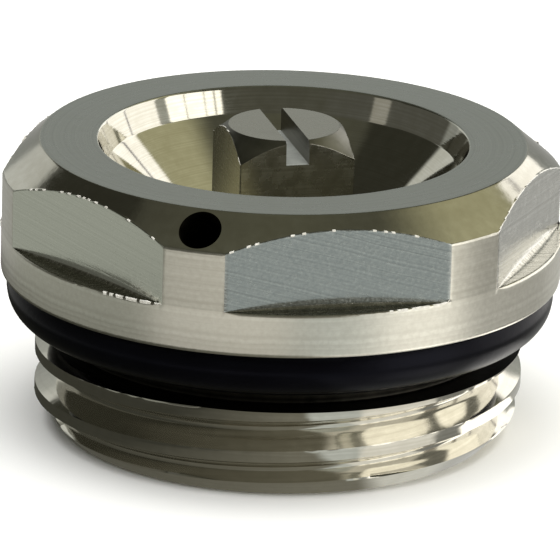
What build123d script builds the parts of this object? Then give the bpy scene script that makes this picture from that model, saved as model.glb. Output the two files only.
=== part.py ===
from build123d import *
import math
import os

# Radiator vent plug: a turned brass plug with six spanner flats, its sealing ring, and the
# square-headed bleed screw, with a soft tip seal, that opens and closes the vent.
# The plug stands on its threaded end. Z is the axis, Z = 0 is the end face, and the corner
# that carries the vent hole points to -Y. Lengths are in millimetres.

# Plug body, outside
COLLAR_DIAMETER = 24.0        # turned collar, and the corners left between the flats
ACROSS_FLATS = 22.0
FLAT_COUNT = 6
THREAD_DIAMETER = 20.955      # major diameter of the G 1/2 pipe thread
THREAD_LENGTH = 4.0           # end face to the lip below the sealing ring
END_CHAMFER = 1.2
GROOVE_WIDTH = 2.9            # lip to the underside of the collar
NECK_DIAMETER = 18.6          # floor of the sealing ring's groove
COLLAR_LAND = 1.9             # underside of the collar to the ledge below the flats
HEAD_HEIGHT = 3.85            # ledge to the top face
RECESS_DIAMETER = 23.0        # shallow recess that holds the sealing ring under the collar
RECESS_DEPTH = 0.4
TOP_RING_DIAMETER = 20.8      # inner edge of the outer chamfer
HEAD_CHAMFER_ANGLE = 40.0     # outer chamfer, measured from the top face
EDGE_BREAK = 0.15             # small chamfer on sharp turned edges

# Plug body, inside
DISH_DIAMETER = 15.9          # mouth of the dish at the top face
DISH_WALL_DEPTH = 1.1        # steep wall below the mouth
DISH_WALL_TAPER = 0.5         # how much the steep wall closes in on each side
DISH_CONE_ANGLE = 45.0        # slope of the dish below the horizontal
BORE_DIAMETER = 8.1           # threaded bore for the bleed screw
SEAT_HEIGHT = 1.9             # end face to the small end of the valve seat
SEAT_ANGLE = 45.0
INLET_DIAMETER = 3.0
INLET_CHAMFER = 0.5
CHAMBER_HEIGHT = 1.45         # open space between the seat and the screw's thread
VENT_DIAMETER = 1.8

# Sealing ring under the collar
SEAL_SECTION = 2.4
SEAL_CLEARANCE = 0.02

# Bleed screw
SQUARE_SIDE = 5.0             # takes a 5 mm radiator key
SQUARE_CORNER_DIAMETER = 7.0  # the bar that the square is milled from
SCREW_STANDOUT = 0.7          # top of the screw above the plug's top face
SCREW_TOP_DIAMETER = 4.8      # flat circle inside the top chamfer
SCREW_CHAMFER_ANGLE = 40.0
SLOT_WIDTH = 1.0
SLOT_DEPTH = 1.05
SCREW_TURN = 31.75            # the slot's angle from +Y at rest
SCREW_THREAD_DIAMETER = 8.0   # M8 x 1
SCREW_THREAD_CHAMFER = 0.35
SCREW_THREAD_STANDOUT = 0.15  # top of the screw's thread above the mouth of the bore
STEM_DIAMETER = 5.0
SPIGOT_DIAMETER = 3.2         # carries the tip seal
RETAINER_LAND = 0.25          # the retainer below the tip seal stands this far out of the spigot
RETAINER_THICKNESS = 0.3
NOSE_DIAMETER = 2.4
NOSE_LENGTH = 0.5

# Tip seal on the spigot
TIP_SEAL_SECTION = 1.2
TIP_SEAL_CLEARANCE = 0.03

# Both rubber rings have this many sides round their section, with flats where they seat
RING_SIDES = 16

# Heights that follow from the sizes above
LIP_Z = THREAD_LENGTH
COLLAR_Z = LIP_Z + GROOVE_WIDTH
LEDGE_Z = COLLAR_Z + COLLAR_LAND
TOP_Z = LEDGE_Z + HEAD_HEIGHT
RECESS_Z = COLLAR_Z + RECESS_DEPTH

# Radii that follow from the sizes above
COLLAR_R = COLLAR_DIAMETER / 2
THREAD_R = THREAD_DIAMETER / 2
NECK_R = NECK_DIAMETER / 2
RECESS_R = RECESS_DIAMETER / 2
SEAL_R = SEAL_SECTION / 2
SEAL_RING_R = NECK_R + SEAL_CLEARANCE + SEAL_R
RING_R = TOP_RING_DIAMETER / 2
DISH_R = DISH_DIAMETER / 2
DISH_WALL_R = DISH_R - DISH_WALL_TAPER
BORE_R = BORE_DIAMETER / 2
INLET_R = INLET_DIAMETER / 2
SPIGOT_R = SPIGOT_DIAMETER / 2

# Where the dish, the bore and the seat meet
DISH_WALL_Z = TOP_Z - DISH_WALL_DEPTH
BORE_TOP_Z = DISH_WALL_Z - (DISH_WALL_R - BORE_R) * math.tan(math.radians(DISH_CONE_ANGLE))
SEAT_SLOPE = math.tan(math.radians(SEAT_ANGLE))
BORE_BOTTOM_Z = SEAT_HEIGHT + (BORE_R - INLET_R) * SEAT_SLOPE

# The tip seal touches the spigot and the seat
TIP_SEAL_R = TIP_SEAL_SECTION / 2
TIP_SEAL_RING_R = SPIGOT_R + TIP_SEAL_CLEARANCE + TIP_SEAL_R
TIP_SEAL_REACH = (TIP_SEAL_R + TIP_SEAL_CLEARANCE) / math.cos(math.radians(SEAT_ANGLE))
TIP_SEAL_Z = SEAT_HEIGHT + (TIP_SEAL_RING_R - INLET_R) * SEAT_SLOPE + TIP_SEAL_REACH
SHOULDER_Z = TIP_SEAL_Z + TIP_SEAL_R + TIP_SEAL_CLEARANCE
RETAINER_Z = TIP_SEAL_Z - TIP_SEAL_R - TIP_SEAL_CLEARANCE

# The screw's thread fills the bore above the chamber
SCREW_THREAD_BOTTOM_Z = BORE_BOTTOM_Z + CHAMBER_HEIGHT
SCREW_THREAD_TOP_Z = BORE_TOP_Z + SCREW_THREAD_STANDOUT
SCREW_TOP_Z = TOP_Z + SCREW_STANDOUT


def turned(points):
    """Turn a closed half section, given as (radius, height) points, about the Z axis."""
    section = make_face(Polyline(*[(r, 0, z) for r, z in points], close=True))
    return revolve(section, Axis.Z)


def ring(centre_radius, section_radius, height):
    """Make a rubber ring about the Z axis, from the radius to the flats of its section."""
    section = RegularPolygon(section_radius, RING_SIDES, major_radius=False, rotation=180 / RING_SIDES)
    return revolve(Plane.XZ * Pos(centre_radius, height) * section, Axis.Z)


def head_chamfer_z(radius):
    """Give the height of the outer chamfer at a radius."""
    return TOP_Z - (radius - RING_R) * math.tan(math.radians(HEAD_CHAMFER_ANGLE))


def plug_section():
    """List the half section of the plug, from the inlet round the outside to the dish."""
    thread_end = [
        (INLET_R + INLET_CHAMFER, 0),
        (THREAD_R - END_CHAMFER, 0),
        (THREAD_R, END_CHAMFER),
        (THREAD_R, LIP_Z - EDGE_BREAK),
        (THREAD_R - EDGE_BREAK, LIP_Z),
    ]
    groove = [
        (NECK_R, LIP_Z),
        (NECK_R, RECESS_Z),
        (RECESS_R, RECESS_Z),
        (RECESS_R, COLLAR_Z),
    ]
    head = [
        (COLLAR_R - EDGE_BREAK, COLLAR_Z),
        (COLLAR_R, COLLAR_Z + EDGE_BREAK),
        (COLLAR_R, head_chamfer_z(COLLAR_R)),
        (RING_R, TOP_Z),
    ]
    dish = [
        (DISH_R, TOP_Z),
        (DISH_WALL_R, DISH_WALL_Z),
        (BORE_R, BORE_TOP_Z),
    ]
    valve_seat = [
        (BORE_R, BORE_BOTTOM_Z),
        (INLET_R, SEAT_HEIGHT),
        (INLET_R, INLET_CHAMFER),
    ]
    return thread_end + groove + head + dish + valve_seat


def spanner_flats():
    """Make the stock that is milled away to leave the flats above the ledge."""
    flats = RegularPolygon(ACROSS_FLATS / 2, FLAT_COUNT, major_radius=False, rotation=90)
    waste = Circle(COLLAR_DIAMETER) - flats
    return Pos(0, 0, LEDGE_Z) * extrude(waste, TOP_Z - LEDGE_Z)


def vent_passage():
    """Make the drill that runs from the middle of the chamfer down into the chamber."""
    mouth_r = (RING_R + COLLAR_R) / 2
    mouth = Vector(0, -mouth_r, head_chamfer_z(mouth_r))
    inner = Vector(0, -BORE_R, SCREW_THREAD_BOTTOM_Z)
    drill = (inner - mouth).normalized()
    start = mouth - drill * VENT_DIAMETER
    end = inner + drill * VENT_DIAMETER / 2
    return extrude(Plane(start, z_dir=drill) * Circle(VENT_DIAMETER / 2), (end - start).length)


def plug_body():
    """Make the plug from bar: turned, milled to a hexagon, then drilled for the vent."""
    return turned(plug_section()) - spanner_flats() - vent_passage()


def seal_height():
    """Give the height where the sealing ring meets the recess: its ceiling, or its rim if that is nearer."""
    under_ceiling = RECESS_Z - SEAL_CLEARANCE - SEAL_R
    reach = SEAL_R / math.cos(math.pi / RING_SIDES) + SEAL_CLEARANCE
    rim_offset = min(abs(RECESS_R - SEAL_RING_R), reach)
    under_rim = COLLAR_Z - math.sqrt(reach**2 - rim_offset**2)
    return min(under_ceiling, under_rim)


def collar_seal():
    """Make the sealing ring, stretched over the neck and pressed up into the recess."""
    return ring(SEAL_RING_R, SEAL_R, seal_height())


def screw_head():
    """Make the square with its turned corners, coned top and driver slot."""
    corner_r = SQUARE_CORNER_DIAMETER / 2
    top_r = SCREW_TOP_DIAMETER / 2
    drop = (corner_r - top_r) * math.tan(math.radians(SCREW_CHAMFER_ANGLE))
    bar = turned(
        [
            (0, SCREW_THREAD_TOP_Z),
            (corner_r, SCREW_THREAD_TOP_Z),
            (corner_r, SCREW_TOP_Z - drop),
            (top_r, SCREW_TOP_Z),
            (0, SCREW_TOP_Z),
        ]
    )
    square = Pos(0, 0, SCREW_THREAD_TOP_Z) * extrude(
        Rectangle(SQUARE_SIDE, SQUARE_SIDE), SCREW_TOP_Z - SCREW_THREAD_TOP_Z
    )
    slot = Pos(0, 0, SCREW_TOP_Z - SLOT_DEPTH / 2) * Box(SLOT_WIDTH, SQUARE_CORNER_DIAMETER, SLOT_DEPTH)
    return (bar & square) - slot


def screw_shank():
    """Make the turned part of the screw: thread, stem, spigot, seal retainer and nose."""
    thread_r = SCREW_THREAD_DIAMETER / 2
    crest_r = thread_r - SCREW_THREAD_CHAMFER
    stem_r = STEM_DIAMETER / 2
    retainer_r = SPIGOT_R + RETAINER_LAND
    retainer_bottom = RETAINER_Z - RETAINER_THICKNESS
    return turned(
        [
            (0, SCREW_THREAD_TOP_Z),
            (crest_r, SCREW_THREAD_TOP_Z),
            (thread_r, SCREW_THREAD_TOP_Z - SCREW_THREAD_CHAMFER),
            (thread_r, SCREW_THREAD_BOTTOM_Z + SCREW_THREAD_CHAMFER),
            (crest_r, SCREW_THREAD_BOTTOM_Z),
            (stem_r, SCREW_THREAD_BOTTOM_Z),
            (stem_r, SHOULDER_Z),
            (SPIGOT_R, SHOULDER_Z),
            (SPIGOT_R, RETAINER_Z),
            (retainer_r, RETAINER_Z),
            (retainer_r, retainer_bottom),
            (NOSE_DIAMETER / 2, retainer_bottom - NOSE_LENGTH),
            (0, retainer_bottom - NOSE_LENGTH),
        ]
    )


def bleed_screw():
    """Join the square head to its shank and turn the screw to its closed position."""
    return Rot(0, 0, SCREW_TURN) * (screw_head() + screw_shank())


def tip_seal():
    """Make the soft ring that closes on the valve seat."""
    return ring(TIP_SEAL_RING_R, TIP_SEAL_R, TIP_SEAL_Z)


NODES = {
    "plug_body": plug_body,
    "collar_seal": collar_seal,
    "bleed_screw": bleed_screw,
    "tip_seal": tip_seal,
}

os.makedirs("parts", exist_ok=True)
for node, make in NODES.items():
    export_step(make(), f"parts/{node}.step")
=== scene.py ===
"""Looks of a radiator vent plug: nickel-plated brass body, black seals and square bleed screw."""
import logging
import math
from collections.abc import Callable
from dataclasses import dataclass, field
from enum import Enum

import bmesh
import bpy
import numpy as np
from mathutils import Matrix, Vector


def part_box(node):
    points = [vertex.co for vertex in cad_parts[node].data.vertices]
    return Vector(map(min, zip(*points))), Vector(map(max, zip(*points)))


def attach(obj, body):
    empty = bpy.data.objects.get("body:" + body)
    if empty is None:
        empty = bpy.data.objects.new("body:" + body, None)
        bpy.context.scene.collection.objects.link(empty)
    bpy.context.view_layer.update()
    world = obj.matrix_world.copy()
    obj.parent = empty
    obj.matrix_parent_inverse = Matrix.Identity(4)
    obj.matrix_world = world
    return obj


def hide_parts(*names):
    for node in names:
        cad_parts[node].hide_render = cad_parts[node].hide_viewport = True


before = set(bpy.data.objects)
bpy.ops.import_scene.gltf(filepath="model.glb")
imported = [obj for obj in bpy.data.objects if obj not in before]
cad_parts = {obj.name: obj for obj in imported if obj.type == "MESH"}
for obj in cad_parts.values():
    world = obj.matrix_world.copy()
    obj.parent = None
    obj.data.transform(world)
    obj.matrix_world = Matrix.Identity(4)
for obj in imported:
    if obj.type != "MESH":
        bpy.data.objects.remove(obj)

LOG = logging.getLogger("vent_plug")
MM = 0.001
WELD = 2e-7
TINY = 1e-9
PHOTO_AZIMUTH = 17.4
PHOTO_ELEVATION = 18.15

Numbers = float | np.ndarray


class Lay(Enum):
    """How the tool marks run on a metal surface."""

    TURNED = "rings about the plug's axis"
    MILLED = "straight lines across a given direction"


class Part(Enum):
    """Material places on the plug, in slot order."""

    TOP_RING = 0
    CHAMFER = 1
    COLLAR = 2
    LEDGE = 3
    DISH = 4
    THREAD = 5
    BORE = 6
    FLAT_FRONT = 7
    FLAT_LEFT = 8
    FLAT_RIGHT = 9
    GROOVE = 10
    CORNER = 11
    TORN = 12


class ScrewPart(Enum):
    """Material places on the bleed screw, in slot order."""

    HEAD = 0
    SHANK = 1
    CHAMFER = 2
    SAWN = 3
    SLOT_FLOOR = 4
    TORN = 5


class RingPart(Enum):
    """The one material place of a sealing ring."""

    MOULDED = 0


def linear(code: str) -> tuple[float, float, float, float]:
    """Turn an sRGB hex colour into linear RGBA.

    Args:
        code: six hex digits, with or without a leading hash.

    Returns:
        Linear red, green, blue and an alpha of one.
    """
    code = code.lstrip("#")
    parts = [int(code[i : i + 2], 16) / 255 for i in (0, 2, 4)]
    return (*[c / 12.92 if c <= 0.04045 else ((c + 0.055) / 1.055) ** 2.4 for c in parts], 1.0)


def add_node(
    tree: bpy.types.NodeTree, kind: str, inputs: dict | None = None, **settings: object
) -> bpy.types.Node:
    """Add one node with its settings, constants and links.

    Args:
        tree: the node tree that gets the node.
        kind: Blender's node type name.
        inputs: socket name or index to a constant or to an output socket.
        settings: node properties to set.

    Returns:
        The new node.
    """
    node = tree.nodes.new(kind)
    for name, value in settings.items():
        setattr(node, name, value)
    for name, value in (inputs or {}).items():
        socket = node.inputs[name]
        if isinstance(value, bpy.types.NodeSocket):
            tree.links.new(value, socket)
        else:
            socket.default_value = value
    return node


def blank_material(name: str) -> bpy.types.Material:
    """Make a material with an empty node tree.

    Args:
        name: the material's name.

    Returns:
        The material.
    """
    material = bpy.data.materials.new(name)
    material.use_nodes = True
    material.node_tree.nodes.clear()
    return material


@dataclass(frozen=True)
class NickelFinish:
    """Nickel plating on brass: a warm grey mirror whose gloss follows the tool that cut the brass.

    Real tool lines are about 0.03 mm apart and the plating's grain is finer still. Both are too fine to
    show, so line_mm and grain_mm draw them several times as coarse.

    Attributes:
        name: the material's name.
        light: plating colour where it is clean.
        dark: plating colour in the tool lines.
        smooth: lowest roughness.
        rough: highest roughness.
        lay: how the tool lines run.
        lay_axis: direction across straight tool lines.
        line_mm: spacing of the tool lines.
        line_depth_mm: depth of the tool lines.
        grain_mm: size of the plating's grain.
        grain_depth_mm: depth of the grain.
        metal: share of the surface that mirrors as clean metal.
        wander: how far the lines stray, in line spacings.
        wander_mm: length over which the lines stray.
        mottle_span: noise values that give the dark and the light colour.
        grain_span: noise values that give the lowest and the highest roughness.
    """

    name: str
    light: str
    dark: str
    smooth: float
    rough: float
    lay: Lay = Lay.TURNED
    lay_axis: tuple[float, float, float] = (0.0, 0.0, 1.0)
    line_mm: float = 0.12
    line_depth_mm: float = 0.004
    grain_mm: float = 0.5
    grain_depth_mm: float = 0.004
    metal: float = 1.0
    wander: float = 0.8
    wander_mm: float = 2.5
    mottle_span: tuple[float, float] = (0.12, 0.42)
    grain_span: tuple[float, float] = (0.3, 0.7)

    def build(self) -> bpy.types.Material:
        """Make the material: plating colour, tool lines and a fine grain.

        Returns:
            The node material.
        """
        material = blank_material(self.name)
        tree = material.node_tree
        place = add_node(tree, "ShaderNodeTexCoord").outputs["Object"]
        line = self.line_noise(tree, place)
        grain = add_node(
            tree, "ShaderNodeTexNoise", {"Vector": place, "Scale": 1 / (self.grain_mm * MM), "Detail": 4.0}
        ).outputs["Fac"]
        mottle = add_node(tree, "ShaderNodeMath", {0: line, 1: grain}, operation="MULTIPLY").outputs[0]
        span = {"Value": mottle, "From Min": self.mottle_span[0], "From Max": self.mottle_span[1]}
        share = add_node(tree, "ShaderNodeMapRange", span).outputs["Result"]
        colours = {0: share, 6: linear(self.dark), 7: linear(self.light)}
        colour = add_node(tree, "ShaderNodeMix", colours, data_type="RGBA").outputs[2]
        span = {"Value": grain, "From Min": self.grain_span[0], "From Max": self.grain_span[1]}
        span |= {"To Min": self.smooth, "To Max": self.rough}
        gloss = add_node(tree, "ShaderNodeMapRange", span).outputs["Result"]
        relief = {"Height": grain, "Distance": self.grain_depth_mm * MM, "Strength": 1.0}
        grain_bump = add_node(tree, "ShaderNodeBump", relief).outputs["Normal"]
        relief = {"Height": line, "Distance": self.line_depth_mm * MM, "Strength": 1.0, "Normal": grain_bump}
        line_bump = add_node(tree, "ShaderNodeBump", relief).outputs["Normal"]
        surface = {"Base Color": colour, "Metallic": self.metal, "Roughness": gloss, "Normal": line_bump}
        shader = add_node(tree, "ShaderNodeBsdfPrincipled", surface)
        add_node(tree, "ShaderNodeOutputMaterial", {"Surface": shader.outputs[0]})
        return material

    def line_noise(self, tree: bpy.types.NodeTree, place: bpy.types.NodeSocket) -> bpy.types.NodeSocket:
        """Draw the tool lines as noise along one coordinate.

        Args:
            tree: the material's tree.
            place: object coordinates.

        Returns:
            The noise value socket.
        """
        if self.lay is Lay.TURNED:
            flat = add_node(
                tree, "ShaderNodeVectorMath", {0: place, 1: (1.0, 1.0, 0.0)}, operation="MULTIPLY"
            ).outputs[0]
            radius = add_node(tree, "ShaderNodeVectorMath", {0: flat}, operation="LENGTH").outputs["Value"]
            height = add_node(tree, "ShaderNodeSeparateXYZ", {0: place}).outputs["Z"]
            along = add_node(tree, "ShaderNodeMath", {0: radius, 1: height}, operation="ADD").outputs[0]
        else:
            along = add_node(
                tree, "ShaderNodeVectorMath", {0: place, 1: self.lay_axis}, operation="DOT_PRODUCT"
            ).outputs["Value"]
        spaced = {0: along, 1: 1 / (self.line_mm * MM)}
        step = add_node(tree, "ShaderNodeMath", spaced, operation="MULTIPLY").outputs[0]
        wander = add_node(
            tree, "ShaderNodeTexNoise", {"Vector": place, "Scale": 1 / (self.wander_mm * MM), "Detail": 2.0}
        ).outputs["Fac"]
        strayed = {0: wander, 1: self.wander, 2: step}
        step = add_node(tree, "ShaderNodeMath", strayed, operation="MULTIPLY_ADD").outputs[0]
        return add_node(
            tree, "ShaderNodeTexNoise", {"W": step, "Scale": 1.0, "Detail": 3.0}, noise_dimensions="1D"
        ).outputs["Fac"]


@dataclass(frozen=True)
class RubberFinish:
    """Moulded black nitrile rubber: near black, with a soft bluish sheen and faint bloom.

    The real moulded grain is too fine to show, so grain_mm draws it coarser.
    """

    name: str
    base: str = "#020203"
    bloom: str = "#060609"
    bloom_mm: float = 2.0
    roughness: float = 0.3
    grain_mm: float = 0.35
    grain_depth_mm: float = 0.006
    sheen: float = 0.10
    sheen_tint: str = "#d9dcff"

    def build(self) -> bpy.types.Material:
        """Make the material: black with a slight bloom and a fine moulded grain.

        Returns:
            The node material.
        """
        material = blank_material(self.name)
        tree = material.node_tree
        place = add_node(tree, "ShaderNodeTexCoord").outputs["Object"]
        cloud = add_node(
            tree, "ShaderNodeTexNoise", {"Vector": place, "Scale": 1 / (self.bloom_mm * MM), "Detail": 5.0}
        ).outputs["Fac"]
        grain = add_node(
            tree, "ShaderNodeTexNoise", {"Vector": place, "Scale": 1 / (self.grain_mm * MM), "Detail": 3.0}
        ).outputs["Fac"]
        colours = {0: cloud, 6: linear(self.base), 7: linear(self.bloom)}
        colour = add_node(tree, "ShaderNodeMix", colours, data_type="RGBA").outputs[2]
        relief = {"Height": grain, "Distance": self.grain_depth_mm * MM, "Strength": 1.0}
        bump = add_node(tree, "ShaderNodeBump", relief).outputs["Normal"]
        surface = {"Base Color": colour, "Roughness": self.roughness, "Normal": bump}
        surface |= {"Specular IOR Level": self.sheen, "Specular Tint": linear(self.sheen_tint)}
        shader = add_node(tree, "ShaderNodeBsdfPrincipled", surface)
        add_node(tree, "ShaderNodeOutputMaterial", {"Surface": shader.outputs[0]})
        return material


@dataclass(frozen=True)
class Corner:
    """One corner of a turned section.

    Attributes:
        radius: distance from the axis, one value per column, in millimetres.
        height: height above the end face, one value per column, in millimetres.
        part: the material place of the face that starts here.
        fillet: edge rounding in millimetres, one value or one per column.
        ragged: how far a burr stands out of the edge at each column, if it has one.
    """

    radius: np.ndarray
    height: np.ndarray
    part: Enum
    fillet: Numbers = 0.0
    ragged: np.ndarray | None = None


@dataclass
class TurnedShell:
    """Grid of points swept about the axis, one row for each point of a section.

    Attributes:
        angles: azimuth of each column in radians.
        torn_part: the material place of a tall burr.
        torn_mm: height from which a burr shows as torn metal.
        arc_steps: strips round each corner.
        hold_mm: width of the strip beside a corner that keeps its shading crisp.
        reach_share: largest share of a face that a fillet takes up.
        hold_share: largest share of a face that a held strip takes up.
        straightest: cosine past which two faces count as one.
        rows: points of each row, as radius and height.
        parts: the material place of the strip after each row.
        ragged: the burr on the strip after each row.
    """

    angles: np.ndarray
    torn_part: Enum
    torn_mm: float = 0.034
    arc_steps: int = 3
    hold_mm: float = 0.05
    reach_share: float = 0.4
    hold_share: float = 0.25
    straightest: float = 0.999
    rows: list[np.ndarray] = field(default_factory=list)
    parts: list[Enum] = field(default_factory=list)
    ragged: list[np.ndarray | None] = field(default_factory=list)

    def corner(
        self,
        radius: Numbers,
        height: Numbers,
        part: Enum,
        fillet: Numbers = 0.0,
        ragged: np.ndarray | None = None,
    ) -> Corner:
        """Make a corner, spreading single numbers over all columns."""
        wide = np.ones_like(self.angles)
        return Corner(wide * radius, wide * height, part, fillet, ragged)

    def sweep(self, corners: list[Corner]) -> None:
        """Add the rows of a section, with each corner rounded and its flanks held.

        Args:
            corners: the section's corners in order; the first and last stay sharp.
        """
        points = [np.stack([c.radius, c.height], -1) for c in corners]
        last = len(points) - 1
        for i, corner in enumerate(corners):
            if i in (0, last) or not np.any(corner.fillet):
                self.push(points[i], corner.part)
            else:
                self.round_corner(points[i - 1 : i + 2], corner, corners[i - 1].part)

    def push(self, point: np.ndarray, part: Enum, ragged: np.ndarray | None = None) -> None:
        """Add one row.

        Args:
            point: radius and height at each column.
            part: the material place of the strip that follows the row.
            ragged: the burr on that strip, if it has one.
        """
        self.rows.append(point)
        self.parts.append(part)
        self.ragged.append(ragged)

    def round_corner(self, points: list[np.ndarray], corner: Corner, last: Enum) -> None:
        """Add the rows of one rounded corner.

        Args:
            points: the corner before this one, this one and the one after it.
            corner: this corner's fillet, burr and material place.
            last: the material place of the strip that ends here.
        """
        before, point, after = points
        back, front = before - point, after - point
        back_len = np.linalg.norm(back, axis=-1, keepdims=True)
        front_len = np.linalg.norm(front, axis=-1, keepdims=True)
        shorter = np.minimum(back_len, front_len)
        back = back / np.maximum(back_len, TINY)
        front = front / np.maximum(front_len, TINY)
        cosine = np.clip((back * front).sum(-1, keepdims=True), -self.straightest, self.straightest)
        reach = np.reshape(corner.fillet, (-1, 1)) / np.tan(np.arccos(cosine) / 2)
        reach = np.minimum(reach, self.reach_share * shorter)
        hold = np.minimum(self.hold_mm, self.hold_share * shorter)
        start, end = point + back * reach, point + front * reach
        self.push(start + back * hold, last)
        for step in range(self.arc_steps + 1):
            u = step / self.arc_steps
            arc = (1 - u) ** 2 * start + 2 * u * (1 - u) * point + u**2 * end
            if corner.ragged is not None and 0 < step < self.arc_steps:
                arc = arc - (back + front) * corner.ragged[:, None]
            ragged = corner.ragged if step < self.arc_steps else None
            self.push(arc, last if step < self.arc_steps / 2 else corner.part, ragged)
        self.push(end + front * hold, corner.part)

    def mesh(self, name: str, closed: bool, pick: Callable[[Enum, int], int] | None = None) -> bpy.types.Mesh:
        """Join the rows into a mesh.

        Args:
            name: the mesh's name.
            closed: whether the last row joins the first.
            pick: optional function of (part, column) that gives a material index.

        Returns:
            The mesh, in metres.
        """
        grid = np.stack(self.rows)
        x = grid[..., 0] * np.cos(self.angles)
        y = grid[..., 0] * np.sin(self.angles)
        points = np.stack([x, y, grid[..., 1]], -1) * MM
        count, width = points.shape[:2]
        faces, places = [], []
        for row in range(count if closed else count - 1):
            below, above = row * width, (row + 1) % count * width
            ragged = self.ragged[row]
            for column in range(width):
                beside = (column + 1) % width
                faces.append((below + column, below + beside, above + beside, above + column))
                torn = ragged is not None and ragged[column] > self.torn_mm
                part = self.torn_part if torn else self.parts[row]
                places.append(pick(part, column) if pick else part.value)
        mesh = bpy.data.meshes.new(name)
        mesh.from_pydata(points.reshape(-1, 3).tolist(), [], faces)
        mesh.polygons.foreach_set("material_index", places)
        return mesh


# What each point of a thread's flat grid carries: its azimuth, its share of a turn and its lead.
GRID_VALUES = ("azimuth", "turn", "lead")


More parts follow.
